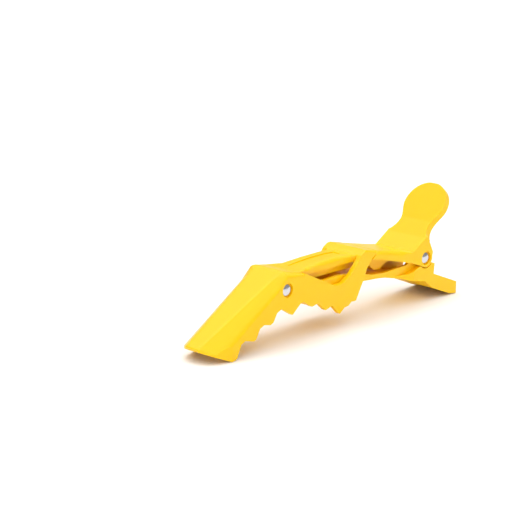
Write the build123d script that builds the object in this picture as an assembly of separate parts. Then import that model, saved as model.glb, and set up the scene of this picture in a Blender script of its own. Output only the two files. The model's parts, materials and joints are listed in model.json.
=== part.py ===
from build123d import *
import os
from math import cos, radians, sin

# A double-hinged sectioning clip. X runs along the clip with the nose at -X and the handles at +X,
# Y is across it, and Z is up. The clip stands on its two front fangs and the end of the lower handle.
# Outlines are given as (x, z) from the point where the fangs touch the ground; the whole clip is
# moved along X at the end, so that the origin is under the middle of its length.

# ---- driving dimensions, mm ----
width = 16.0
half = width / 2
wall = 1.5
side_gap = 0.4
nose_end_x = -10.24
handle_end_x = 103.4
length_shift = -(nose_end_x + handle_end_x) / 2

front_pin_x, front_pin_z = 22.3, 17.1
rear_pin_x, rear_pin_z = 87.0, 14.8
pin_radius = 1.25
pin_clearance = 0.05
head_radius = 1.8
head_recess_radius = 2.2
head_depth = 0.75
head_rim = 0.3

eye_radius = 2.8
snout_boss_radius = 3.1
snout_boss_inner = 5.4
arm_half = 3.6
eye_half = 5.0
deck_edge_radius = 1.5
groove_half = 1.6
rail_outer = half - wall - side_gap
rail_inner = rail_outer - 1.5
tip_half = 3.6

lug_inner = 6.6
lug_radius = 3.0
ear_outer = rail_outer
ear_inner = 5.0
ear_radius = 3.2
ear_relief_radius = 3.4

lip_x, lip_z = -10.4, 4.6
crest_x, crest_z = 22.2, 22.7
shelf_x, shelf_z = 29.6, 20.95
crest_radius = 3.0
crease = 0.5
tooth_radius = 0.55
panel_slope = (crest_z - lip_z) / (crest_x - lip_x)
panel_rake = (1 + panel_slope ** 2) ** 0.5

rib_count = 5
rib_pitch = 1.8
rib_drop = 0.74

paddle_radius = half
paddle_thickness = 2.4
paddle_angle = 50.0
paddle_centre_x, paddle_centre_z = 94.9, 30.2
neck_half = 6.1
neck_end = 11.6

wire_radius = 0.45
coil_radius = 2.15
coil_pitch = 1.15
upper_leg_angle = 40.0
lower_leg_angle = -27.0
leg_length = 11.0
whole_turns = 5


def plate(points, y_low, y_high, radius=0.0):
    """Solid with a side outline of (x, z) points, its corners rounded, from y_low to y_high."""
    if radius:
        line = FilletPolyline(*points, radius=radius, close=True)
    else:
        line = Polyline(*points, close=True)
    face = Plane.XZ.offset(-y_low) * make_face(line)
    return extrude(face, amount=y_high - y_low, dir=(0, 1, 0))


def plan_plate(points, z_low, z_high, radius):
    """Solid with a top outline of (x, y) points, its corners rounded, from z_low to z_high."""
    line = FilletPolyline(*points, radius=radius, close=True)
    return extrude(Plane.XY.offset(z_low) * make_face(line), amount=z_high - z_low)


def both_sides(solid):
    """A solid and its mirror image across the clip's middle plane."""
    return solid + mirror(solid, about=Plane.XZ)


def rod(x, z, radius, y_low, y_high):
    """Round bar along Y."""
    base = Plane.XZ.offset(-y_low) * Pos(x, z) * Circle(radius)
    return extrude(base, amount=y_high - y_low, dir=(0, 1, 0))


def panel_z(x):
    """Height of the snout's flat top panel."""
    return lip_z + (x - lip_x) * panel_slope


def shoulder(inset):
    """Space beside the snout's flat top panel, outside its rounded shoulder, on the +Y side.

    Each section turns over the panel's rounded edge, falls at a slope and then turns down into the
    side wall.
    """
    stations = (
        (lip_x - 2.0, panel_z(lip_x - 2.0), 2.35, 6.0, 0.84, 1.8),
        (18.0, panel_z(18.0), 4.9, 6.7, 0.80, 0.9),
        (crest_x, crest_z, 5.8, 7.1, 0.45, 0.9),
        (shelf_x, shelf_z, 6.6, 7.6, 0.30, 0.4),
    )
    shrink = (half - inset) / half
    faces = []
    for x, surface, panel_half, bend_y, slope, turn_down in stations:
        top = surface - panel_rake * inset
        edge = (panel_half * shrink, top)
        bend = (bend_y * shrink, top - (bend_y - panel_half) * slope)
        corner = (half - inset, top - (half - panel_half) * slope)
        side = (half - inset, corner[1] - turn_down)
        start = (edge[0] - crease, top)
        fall = (edge[0] + crease, top - crease * slope)
        frame = Polyline(side, (half + 2, side[1]), (half + 2, top + 8), (start[0], top + 8), start)
        outline = frame + Bezier(start, edge, fall) + Line(fall, bend) + Bezier(bend, corner, side)
        faces.append(Plane.YZ.offset(x) * make_face(outline))
    return loft(faces, ruled=True)


def rounded_edge(stations):
    """Space outside a rounded top edge on the +Y side, from stations of (x, top, y, radius)."""
    faces = []
    for x, top, y, radius in stations:
        middle = radius * (1 - 0.5 ** 0.5)
        start, end = (y - radius, top), (y, top - radius)
        arc = ThreePointArc(start, (y - middle, top - middle), end)
        frame = Polyline(end, (y + 3, end[1]), (y + 3, top + 3), (start[0], top + 3), start)
        faces.append(Plane.YZ.offset(x) * make_face(arc + frame))
    return loft(faces, ruled=True)


def make_bar():
    """Grooved bar between the snout's crest and its cross-bar, wider where it meets them."""
    bar = plate(
        [
            (25.0, 21.9), (28.6, 21.3), (33.0, 21.3), (41.0, 21.9), (48.0, 22.0), (54.8, 21.6), (57.4, 22.4),
            (57.4, 21.0), (54.8, 19.4), (48.0, 19.3), (40.0, 19.2), (28.6, 19.1), (25.0, 20.3),
        ],
        -half + 1,
        half - 1,
    )
    side = [
        (25.0, 6.8), (28.8, 6.8), (32.5, 5.5), (37.0, 5.0),
        (50.0, 5.0), (53.5, 5.4), (56.2, 6.8), (57.4, 6.8),
    ]
    bar &= plan_plate(side + [(x, -y) for x, y in reversed(side)], 10, 30, 0.5)
    bar -= both_sides(rounded_edge([
        (28.6, 21.3, 7.3, 0.4), (33.0, 21.3, 5.5, 1.2), (41.0, 21.9, 5.0, 1.3),
        (48.0, 22.0, 5.0, 1.3), (53.5, 21.68, 5.5, 1.2), (57.0, 22.3, 7.3, 0.4),
    ]))
    groove = plate(
        [(30.5, 24.0), (32.0, 21.0), (41.0, 21.55), (48.0, 21.65), (52.6, 21.4), (54.0, 24.0)],
        -groove_half,
        groove_half,
    )
    return bar - groove


def make_front_jaw():
    toothed_edge = [
        (-1.2, 0.0), (0.6, 0.6), (2.5, 4.6), (4.1, 5.3),
        (7.6, 4.4), (8.7, 4.7), (10.3, 7.7), (12.1, 8.5),
        (14.8, 7.9), (16.1, 8.5), (17.6, 11.0), (19.6, 11.9),
        (24.3, 9.0), (27.8, 11.8), (29.2, 12.2),
        (32.9, 9.8), (35.7, 10.4), (39.0, 7.4), (42.1, 8.3),
        (45.5, 4.8), (47.8, 6.5), (49.6, 6.7), (51.0, 7.7), (53.0, 7.6),
    ]
    rear_edge = [(56.1, 12.9), (58.1, 17.1), (60.3, 19.6), (63.3, 21.8)]
    window = [
        (57.7, 23.0), (55.2, 21.6), (54.0, 20.0), (50.3, 16.4), (46.8, 14.4), (43.2, 14.4), (38.1, 16.9),
    ]
    top = [(shelf_x, shelf_z), (crest_x, crest_z), (lip_x, lip_z), (lip_x + 0.6, lip_z - 1.0)]
    radii = [tooth_radius] * (len(toothed_edge) + len(rear_edge))
    radii += [0.4, 0.6, 1.0, 2.0, 1.6, 1.6, 2.0, 2.0, crest_radius, 0.4, 0.3]
    body = plate(toothed_edge + rear_edge + window + top, -half, half, radii)
    body -= both_sides(rounded_edge([(56.6, 23.24, half, 0.9), (66.0, 21.22, half, 0.9)]))
    nose = [(-1.2, half), (-6.8, 6.7), (-8.7, 4.8), (lip_x, 2.4)]
    rear = [(70.0, -half), (70.0, half)]
    body &= plan_plate(rear + nose + [(x, -y) for x, y in reversed(nose)], -5, 40, 0.7)
    body -= both_sides(shoulder(0.0))

    inner_half = half - wall
    under = panel_rake * wall
    hollow = plate(
        [
            (lip_x + 2.2, -5.0), (lip_x + 2.2, panel_z(lip_x + 2.2) - under),
            (crest_x - 0.8, crest_z - 0.4 - under), (crest_x + 1.0, crest_z - 0.3 - under),
            (28.8, 19.4), (28.8, 32.0), (54.8, 32.0), (54.8, 20.6), (57.8, 21.4), (63.6, 20.4), (66.0, 19.8),
            (66.0, -5.0),
        ],
        -inner_half,
        inner_half,
    )
    inner_nose = [(-1.2, inner_half), (-5.6, 5.2), (-7.2, 3.5), (lip_x + 2.0, 1.7)]
    hollow &= plan_plate(rear + inner_nose + [(x, -y) for x, y in reversed(inner_nose)], -6, 40, 0.5)
    hollow -= both_sides(shoulder(wall))
    body = (body - hollow) + make_bar()

    pin_boss = rod(front_pin_x, front_pin_z, snout_boss_radius, snout_boss_inner, inner_half + 0.2)
    body += both_sides(pin_boss)
    body -= rod(front_pin_x, front_pin_z, pin_radius + pin_clearance, -half, half)
    recess = rod(front_pin_x, front_pin_z, head_recess_radius, half - head_depth, half + 1)
    return body - both_sides(recess)


def paddle_point(along, above):
    """Point at a distance up the paddle from its centre, and above its outer face."""
    turn = radians(paddle_angle)
    x = paddle_centre_x + along * cos(turn) - above * sin(turn)
    z = paddle_centre_z + along * sin(turn) + above * cos(turn)
    return x, z


def make_handle_sheet():
    """Deck, bend and paddle as one sheet with a rounded end, seen from above."""
    tip = paddle_point(paddle_radius, 0)
    deck_top = [(63.75, 21.6), (80.4, 17.9), (86.4, 21.6), paddle_point(-5.8, 0), tip]
    under_tip = paddle_point(paddle_radius, -paddle_thickness)
    bend = paddle_point(-6.6, -paddle_thickness)
    deck_under = [under_tip, bend, (88.0, 19.6), (80.9, 15.9), (66.0, 19.2), (62.0, 20.0)]
    radii = [0.2, 0.8, 4.0, 4.0, 0.4, 0.4, 4.0, 3.0, 1.5, 0.5, 0.2]
    sheet = plate(deck_top + deck_under, -half, half, radii)
    face_plane = Plane(
        origin=(paddle_centre_x, 0, paddle_centre_z),
        x_dir=(cos(radians(paddle_angle)), 0, sin(radians(paddle_angle))),
        z_dir=(-sin(radians(paddle_angle)), 0, cos(radians(paddle_angle))),
    )
    flare = Spline(
        (0, paddle_radius), (-8.0, neck_half), (-neck_end, half),
        tangents=((-1, 0), (-0.55, 1.0)), tangent_scalars=(1.0, 0.6),
    )
    end = ThreePointArc((0, -paddle_radius), (paddle_radius, 0), (0, paddle_radius))
    lower_flare = mirror(flare, about=Plane.XZ)
    base = Polyline((-neck_end, half), (-40, half), (-40, -half), (-neck_end, -half))
    outline = make_face(Wire([*end.edges(), *flare.edges(), *base.edges(), *lower_flare.edges()]))
    envelope = extrude(face_plane * outline, amount=30, both=True)
    return sheet & envelope


def make_upper_lever():
    body = make_handle_sheet()
    skirt = plate(
        [
            (63.75, 21.55), (80.4, 17.8), (87.2, 22.0), (88.9, 19.3), (90.3, 16.3), (89.9, 14.9),
            (rear_pin_x, rear_pin_z), (86.2, 12.0), (83.0, 13.3), (80.0, 14.4), (74.0, 16.1),
            (64.4, 18.6), (60.9, 19.4),
        ],
        lug_inner,
        half,
    )
    lug = rod(rear_pin_x, rear_pin_z, lug_radius, lug_inner, half)
    body += both_sides(skirt) + both_sides(lug)
    deck_edge = [
        (62.0, 22.02, half, deck_edge_radius), (74.5, 19.22, half, deck_edge_radius),
        (79.2, 18.17, half, 0.3),
    ]
    body -= both_sides(rounded_edge(deck_edge))

    arm = plate(
        [
            (72.0, 18.9), (64.2, 20.2), (59.0, 19.8), (54.0, 18.9), (34.0, 18.7), (26.0, 18.5),
            (24.0, 19.2), (front_pin_x, front_pin_z + 2.6), (front_pin_x, front_pin_z - 2.6),
            (28.5, 16.0), (36.0, 17.1), (52.0, 17.1),
            (60.5, 16.8), (63.8, 16.1), (66.4, 14.1), (69.0, 13.8), (71.4, 15.2), (74.0, 16.0),
        ],
        -arm_half,
        arm_half,
        0.4,
    )
    eye = rod(front_pin_x, front_pin_z, eye_radius, -eye_half, eye_half)
    body += arm + eye
    body -= rod(front_pin_x, front_pin_z, pin_radius, -half, half)
    body -= rod(rear_pin_x, rear_pin_z, pin_radius + pin_clearance, -half, half)
    recess = rod(rear_pin_x, rear_pin_z, head_recess_radius, half - head_depth, half + 1)
    return body - both_sides(recess)


def make_lower_jaw():
    floor = plate(
        [
            (-2.4, 2.0), (4.0, 5.4), (12.0, 8.7), (19.4, 11.9), (27.0, 12.4), (36.0, 10.9), (52.0, 10.9),
            (56.0, 12.6), (66.0, 11.9), (72.5, 11.0), (79.2, 8.8), (86.8, 7.1), (90.5, 4.6), (91.5, 7.5),
            (79.8, 10.2), (73.0, 12.3), (66.0, 13.4), (56.0, 14.1), (52.0, 12.4), (36.0, 12.4),
            (27.0, 13.9), (22.3, 13.4), (18.8, 13.2), (11.5, 10.0), (3.4, 6.6), (-2.4, 3.3),
        ],
        -rail_outer,
        rail_outer,
    )
    front_rail = [
        (3.0, 5.8), (4.0, 7.4), (5.5, 8.5), (6.7, 9.5), (8.5, 9.8), (9.7, 10.8),
        (11.5, 11.0), (12.7, 12.0), (14.5, 12.3), (15.7, 13.3), (17.4, 13.0), (17.4, 11.8),
    ]
    body = floor + both_sides(plate(front_rail, tip_half - 0.9, tip_half + 0.6))

    middle_rail = [
        (29.0, 13.0), (31.0, 15.0), (38.0, 16.2), (48.0, 16.4), (54.0, 15.8), (60.0, 14.4), (64.0, 13.4),
        (64.0, 12.4), (56.0, 13.2), (52.0, 11.6), (36.0, 11.6),
    ]
    body += both_sides(plate(middle_rail, rail_inner, rail_outer, 0.5))
    nose = [(100.0, rail_outer), (18.0, rail_outer), (-2.4, tip_half)]
    body &= plan_plate(nose + [(x, -y) for x, y in reversed(nose)], -5, 30, 1.2)

    ear = plate(
        [
            (66.0, 12.2), (79.2, 9.0), (86.8, 7.3), (90.4, 4.8), (90.9, 9.2), (91.3, 12.4),
            (rear_pin_x + ear_radius, rear_pin_z), (rear_pin_x, rear_pin_z),
            (rear_pin_x - 2.0, rear_pin_z + 2.4), (79.5, 13.6), (66.0, 13.1),
        ],
        ear_inner,
        ear_outer,
    )
    ear_eye = rod(rear_pin_x, rear_pin_z, ear_radius, ear_inner, ear_outer)
    cheek = plate(
        [
            (73.0, 11.0), (79.2, 8.8), (86.8, 7.1), (90.4, 4.6), (90.9, 9.2), (91.3, 12.4),
            (88.0, 13.4), (83.4, 12.4), (79.0, 10.9), (76.0, 11.0),
        ],
        ear_outer - 0.5,
        half,
    )
    relief = rod(rear_pin_x, rear_pin_z, ear_relief_radius, ear_outer, half + 1)
    flare = [(73.0, 5.5), (73.6, rail_outer), (81.0, half), (94.0, half), (94.0, 5.5)]
    cheek &= plan_plate(flare, 0, 20, 0.3)
    body += both_sides(ear) + both_sides(ear_eye) + both_sides(cheek - relief)

    handle = plate(
        [
            (86.8, 7.0), (90.4, 4.2), (99.0, 0.7), (handle_end_x - 0.7, 0.0), (handle_end_x, 3.7),
            (90.9, 8.9), (87.0, 9.6),
        ],
        -half,
        half,
    )
    corner = [(80.0, half), (80.0, -half), (104.0, -half), (104.0, half)]
    handle &= plan_plate(corner, -1, 20, 2.0)
    pocket = plate([(91.5, 6.9), (101.6, 2.7), (101.6, -2.0), (91.5, -2.0)], -half + wall, half - wall)
    ribs = Part()
    for step in range(rib_count):
        x = 93.0 + rib_pitch * step
        z = 5.9 - rib_drop * step
        rib = [(x, z + 1.0), (x + 0.8, z + 0.8), (x + 0.6, z - 1.8), (x + 0.2, z - 1.8)]
        ribs += plate(rib, -half + wall, half - wall)
    body += (handle - pocket) + ribs
    return body - rod(rear_pin_x, rear_pin_z, pin_radius, -half, half)


def make_pin(x, z):
    """Rivet with a low domed head at each end, flush with the clip's sides."""
    seat = half - head_depth
    rise = head_depth - head_rim
    dome_radius = (head_radius ** 2 + rise ** 2) / (2 * rise)
    dome = Pos(x, half - dome_radius, z) * Sphere(dome_radius)
    head = rod(x, z, head_radius, seat, half) & dome
    return rod(x, z, pin_radius, -seat, seat) + both_sides(head)


def direction(angle):
    """Unit vector in the side view, turned up from +X."""
    return Vector(cos(radians(angle)), 0, sin(radians(angle)))


def leg(foot, angle):
    """Straight end of the spring's wire, with a rounded tip."""
    along = direction(angle)
    rod_end = foot + along * leg_length
    bar = extrude(Plane(origin=foot, z_dir=along) * Circle(wire_radius), amount=leg_length)
    elbow = Pos(*foot) * Sphere(wire_radius + 0.03)
    return bar + elbow + Pos(*rod_end) * Sphere(wire_radius)


def make_spring():
    """Torsion spring on the rear pin: a coil with one leg under each handle."""
    first = upper_leg_angle + 90
    last = lower_leg_angle + 270
    turns = whole_turns + (last - first) / 360
    height = coil_pitch * turns
    centre = Vector(rear_pin_x, 0, rear_pin_z)
    side = Vector(0, height / 2, 0)
    frame = Plane(origin=centre + side, x_dir=direction(first), z_dir=(0, -1, 0))
    helix = frame * Helix(pitch=coil_pitch, height=height, radius=coil_radius)
    section = Plane(origin=helix @ 0, z_dir=helix % 0) * Circle(wire_radius)
    coil = sweep(section, path=helix, is_frenet=True)
    upper = leg(centre + side + direction(first) * coil_radius, upper_leg_angle)
    lower = leg(centre - side + direction(last) * coil_radius, lower_leg_angle)
    return coil + upper + lower


def write(name, solid):
    solid = Pos(length_shift, 0, 0) * solid
    export_step(solid, f"parts/{name}.step")
    box = solid.bounding_box()
    print(name, len(solid.solids()), round(solid.volume, 1), box.min, box.max)


os.makedirs("parts", exist_ok=True)
write("front_jaw", make_front_jaw())
write("upper_lever", make_upper_lever())
write("lower_jaw", make_lower_jaw())
write("front_pin", make_pin(front_pin_x, front_pin_z))
write("rear_pin", make_pin(rear_pin_x, rear_pin_z))
write("torsion_spring", make_spring())
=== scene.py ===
import bpy
import json
from math import cos, pi, radians, sin
from mathutils import Matrix, Vector


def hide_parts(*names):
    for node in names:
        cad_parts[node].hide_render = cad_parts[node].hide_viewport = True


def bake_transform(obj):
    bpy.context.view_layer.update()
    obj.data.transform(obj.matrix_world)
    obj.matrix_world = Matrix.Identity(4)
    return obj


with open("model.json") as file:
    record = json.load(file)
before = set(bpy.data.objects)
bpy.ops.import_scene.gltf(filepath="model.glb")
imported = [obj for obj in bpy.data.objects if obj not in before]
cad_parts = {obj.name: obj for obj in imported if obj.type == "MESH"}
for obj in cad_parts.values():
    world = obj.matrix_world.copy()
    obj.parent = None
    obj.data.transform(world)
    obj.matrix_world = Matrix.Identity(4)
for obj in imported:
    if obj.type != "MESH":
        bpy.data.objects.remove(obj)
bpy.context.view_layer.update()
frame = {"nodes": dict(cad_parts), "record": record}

MM = 0.001

# ---- camera: the clip's nose points to the lower left, its handles to the upper right ----
CAMERA_AZIMUTH = -45.65
CAMERA_ELEVATION = 14.87
CAMERA_LENS = 141.6
CAMERA_SENSOR = 36.0
CAMERA_DISTANCE = 0.5968
CAMERA_TARGET = Vector((-0.0331, -0.0032, 0.0286))

# ---- looks; noise scales are features per metre ----
PLASTIC_YELLOWS = ((1.0, 0.545, 0.0005), (1.0, 0.575, 0.001))
PLASTIC_ROUGHNESS = (0.3, 0.38)
RIVET_STEEL = (0.68, 0.68, 0.71)
RIVET_ROUGHNESS = 0.2
SPRING_STEEL = (0.55, 0.55, 0.57)
SPRING_ROUGHNESS = 0.3
FLOOR_WHITES = ((0.90, 0.90, 0.90), (0.93, 0.93, 0.93))

# ---- stage and studio ----
FLOOR_HALF = 3.0
CEILING_START = 0.35
CEILING_FULL = 0.8
WALL_STRENGTH = 0.35
CEILING_STRENGTH = 1.6

# ---- softened edges of the mouldings ----
EDGE_RADIUS = 0.25 * MM
EDGE_SEGMENTS = 3
EDGE_ANGLE = 28.0
FLAT_ANGLE = 0.1

# ---- torsion spring, as in the CAD model; each leg's points are lengths along it ----
WIRE_RADIUS = 0.45 * MM
COIL_RADIUS = 2.15 * MM
COIL_PITCH = 1.15 * MM
COIL_TURNS = 5
COIL_STEPS = 40
UPPER_LEG_ANGLE = 40.0
LOWER_LEG_ANGLE = -27.0
LEG_STEPS = [length * MM for length in (11.0, 8.0, 5.0, 3.0, 1.5, 0.6)]
WIRE_ROUNDNESS = 5


def make_camera():
    """Camera on a line from the target, turned by the azimuth and raised by the elevation."""
    turn = radians(CAMERA_AZIMUTH)
    tilt = radians(CAMERA_ELEVATION)
    back = Vector((sin(turn) * cos(tilt), -cos(turn) * cos(tilt), sin(tilt)))
    right = Vector((cos(turn), sin(turn), 0.0))
    up = back.cross(right)
    data = bpy.data.cameras.new("camera")
    data.lens = CAMERA_LENS
    data.sensor_width = CAMERA_SENSOR
    data.clip_start = 0.01
    camera = bpy.data.objects.new("camera", data)
    place = CAMERA_TARGET + back * CAMERA_DISTANCE
    camera.matrix_world = Matrix.Translation(place) @ Matrix((right, up, back)).transposed().to_4x4()
    bpy.context.scene.collection.objects.link(camera)
    bpy.context.scene.camera = camera


# ---- materials ----
def new_material(name):
    """Material, its node tree and its Principled shader."""
    material = bpy.data.materials.new(name)
    material.use_nodes = True
    tree = material.node_tree
    return material, tree, tree.nodes["Principled BSDF"]


def noise(tree, scale, detail=3.0):
    """Noise at so many features per metre, in the object's own coordinates."""
    coords = tree.nodes.new("ShaderNodeTexCoord")
    texture = tree.nodes.new("ShaderNodeTexNoise")
    texture.inputs["Scale"].default_value = scale
    texture.inputs["Detail"].default_value = detail
    tree.links.new(coords.outputs["Object"], texture.inputs["Vector"])
    return texture.outputs["Fac"]


def remap(tree, value, low, high):
    """A 0 to 1 value brought to a range."""
    node = tree.nodes.new("ShaderNodeMapRange")
    node.inputs["To Min"].default_value = low
    node.inputs["To Max"].default_value = high
    tree.links.new(value, node.inputs["Value"])
    return node.outputs["Result"]


def mix_colors(tree, value, first, second):
    """Colour between two, by a 0 to 1 value."""
    node = tree.nodes.new("ShaderNodeMix")
    node.data_type = "RGBA"
    node.inputs["A"].default_value = (*first, 1.0)
    node.inputs["B"].default_value = (*second, 1.0)
    tree.links.new(value, node.inputs["Factor"])
    return node.outputs["Result"]


def add_bump(tree, shader, value, strength, distance):
    node = tree.nodes.new("ShaderNodeBump")
    node.inputs["Strength"].default_value = strength
    node.inputs["Distance"].default_value = distance
    tree.links.new(value, node.inputs["Height"])
    tree.links.new(node.outputs["Normal"], shader.inputs["Normal"])


def plastic_material():
    """Glossy yellow plastic that lets a little light in."""
    material, tree, shader = new_material("yellow_plastic")
    color = mix_colors(tree, noise(tree, scale=60.0, detail=2.0), *PLASTIC_YELLOWS)
    tree.links.new(color, shader.inputs["Base Color"])
    gloss = remap(tree, noise(tree, scale=900.0), *PLASTIC_ROUGHNESS)
    tree.links.new(gloss, shader.inputs["Roughness"])
    shader.inputs["Subsurface Weight"].default_value = 0.4
    shader.inputs["Subsurface Radius"].default_value = (1.0, 0.6, 0.1)
    shader.inputs["Subsurface Scale"].default_value = 1.5 * MM
    shader.inputs["IOR"].default_value = 1.5
    shader.inputs["Specular IOR Level"].default_value = 0.28
    grain = noise(tree, scale=1400.0, detail=2.0)
    add_bump(tree, shader, grain, strength=0.08, distance=0.06 * MM)
    return material


def steel_material(name, base, rough):
    """Bright or drawn steel, slightly uneven in colour and gloss."""
    material, tree, shader = new_material(name)
    shader.inputs["Metallic"].default_value = 1.0
    dark = tuple(0.86 * channel for channel in base)
    color = mix_colors(tree, noise(tree, scale=700.0), dark, base)
    tree.links.new(color, shader.inputs["Base Color"])
    gloss = remap(tree, noise(tree, scale=2500.0), rough * 0.7, rough * 1.4)
    tree.links.new(gloss, shader.inputs["Roughness"])
    add_bump(tree, shader, noise(tree, scale=3000.0), strength=0.1, distance=0.03 * MM)
    return material


# ---- stage ----
def make_stage():
    """Plain white floor."""
    mesh = bpy.data.meshes.new("floor")
    signs = [(-1, -1), (1, -1), (1, 1), (-1, 1)]
    corners = [(x * FLOOR_HALF, y * FLOOR_HALF, 0) for x, y in signs]
    mesh.from_pydata(corners, [], [(0, 1, 2, 3)])
    floor = bpy.data.objects.new("floor", mesh)
    bpy.context.scene.collection.objects.link(floor)
    material, tree, shader = new_material("floor_paper")
    shade = mix_colors(tree, noise(tree, scale=40.0), *FLOOR_WHITES)
    tree.links.new(shade, shader.inputs["Base Color"])
    shader.inputs["Roughness"].default_value = 0.9
    mesh.materials.append(material)


def sun_light(name, aim_from, strength, spread):
    """Large soft source in the direction aim_from, spread degrees wide."""
    data = bpy.data.lights.new(name, "SUN")
    data.energy = strength
    data.angle = radians(spread)
    light = bpy.data.objects.new(name, data)
    light.matrix_world = (-Vector(aim_from)).to_track_quat("-Z", "Y").to_matrix().to_4x4()
    bpy.context.scene.collection.objects.link(light)


def make_world():
    """Studio with a large bright ceiling and darker walls."""
    world = bpy.data.worlds.new("studio")
    world.use_nodes = True
    tree = world.node_tree
    sky = tree.nodes["Background"]
    sky.inputs["Color"].default_value = (1.0, 1.0, 1.0, 1.0)
    coords = tree.nodes.new("ShaderNodeTexCoord")
    split = tree.nodes.new("ShaderNodeSeparateXYZ")
    ceiling = tree.nodes.new("ShaderNodeMapRange")
    ceiling.interpolation_type = "SMOOTHSTEP"
    ceiling.inputs["From Min"].default_value = CEILING_START
    ceiling.inputs["From Max"].default_value = CEILING_FULL
    ceiling.inputs["To Min"].default_value = WALL_STRENGTH
    ceiling.inputs["To Max"].default_value = CEILING_STRENGTH
    tree.links.new(coords.outputs["Generated"], split.inputs["Vector"])
    tree.links.new(split.outputs["Z"], ceiling.inputs["Value"])
    tree.links.new(ceiling.outputs["Result"], sky.inputs["Strength"])
    bpy.context.scene.world = world


def make_lights():
    sun_light("overhead_softbox", aim_from=(0.0, 0.25, 0.97), strength=0.45, spread=30.0)
    sun_light("front_softbox", aim_from=(-0.6, -0.75, 0.3), strength=0.8, spread=60.0)
    make_world()
    bpy.context.scene.view_settings.view_transform = "Standard"


# ---- the object ----
def soften(node):
    """Rounds a CAD node's sharp edges a little, as a moulding's edges are."""
    flat = node.modifiers.new("merge_flats", "DECIMATE")
    flat.decimate_type = "DISSOLVE"
    flat.angle_limit = radians(FLAT_ANGLE)
    bevel = node.modifiers.new("edge_radius", "BEVEL")
    bevel.width = EDGE_RADIUS
    bevel.segments = EDGE_SEGMENTS
    bevel.limit_method = "ANGLE"
    bevel.angle_limit = radians(EDGE_ANGLE)
    bevel.harden_normals = True


def direction(angle):
    """Unit vector in the side view, turned up from +X."""
    return Vector((cos(angle), 0, sin(angle)))


def spring_path(centre):
    """Wire of the torsion spring: one leg, the coil about the rear pin, and the other leg."""
    upper, lower = radians(UPPER_LEG_ANGLE), radians(LOWER_LEG_ANGLE)
    first = upper + pi / 2
    last = lower - pi / 2 + 2 * pi * (COIL_TURNS + 1)
    side = Vector((0, COIL_PITCH * (last - first) / (2 * pi) / 2, 0))
    upper_foot = centre + side + direction(first) * COIL_RADIUS
    lower_foot = centre - side + direction(last) * COIL_RADIUS

    points = [upper_foot + direction(upper) * along for along in LEG_STEPS]
    steps = COIL_TURNS * COIL_STEPS
    for step in range(steps + 1):
        share = step / steps
        radial = direction(first + (last - first) * share) * COIL_RADIUS
        points.append(centre + radial + side * (1 - 2 * share))
    points += [lower_foot + direction(lower) * along for along in reversed(LEG_STEPS)]
    return points


def make_spring(material):
    """Coil spring mesh in place of the CAD spring, with one leg on each handle."""
    centre = joint_place("jaw_hinge")
    curve = bpy.data.curves.new("spring_line", "CURVE")
    curve.dimensions = "3D"
    curve.bevel_depth = WIRE_RADIUS
    curve.bevel_resolution = WIRE_ROUNDNESS
    curve.use_fill_caps = True
    points = spring_path(centre)
    line = curve.splines.new("POLY")
    line.points.add(len(points) - 1)
    for spot, place in zip(line.points, points):
        spot.co = (*place, 1.0)
    source = bpy.data.objects.new("spring_line", curve)
    bpy.context.scene.collection.objects.link(source)
    mesh = bpy.data.meshes.new_from_object(source)
    bpy.data.objects.remove(source)
    mesh.shade_smooth()
    mesh.materials.append(material)
    spring = bpy.data.objects.new("coil_spring", mesh)
    bpy.context.scene.collection.objects.link(spring)
    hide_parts("torsion_spring")
    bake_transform(spring)


def joint_place(name):
    """Point on a joint's axis, from the record."""
    for joint in frame["record"]["behaviour"]["joints"]:
        if joint["name"] == name:
            return Vector(joint["pos_m"])


def paint(node_name, material):
    """Gives a CAD node one material."""
    node = frame["nodes"][node_name]
    node.data.materials.clear()
    node.data.materials.append(material)
    return node


make_camera()
make_stage()
make_lights()
plastic = plastic_material()
rivet_steel = steel_material("rivet_steel", RIVET_STEEL, RIVET_ROUGHNESS)
spring_steel = steel_material("spring_steel", SPRING_STEEL, SPRING_ROUGHNESS)
for name in ("front_jaw", "upper_lever", "lower_jaw"):
    soften(paint(name, plastic))
for name in ("front_pin", "rear_pin"):
    paint(name, rivet_steel)
make_spring(spring_steel)
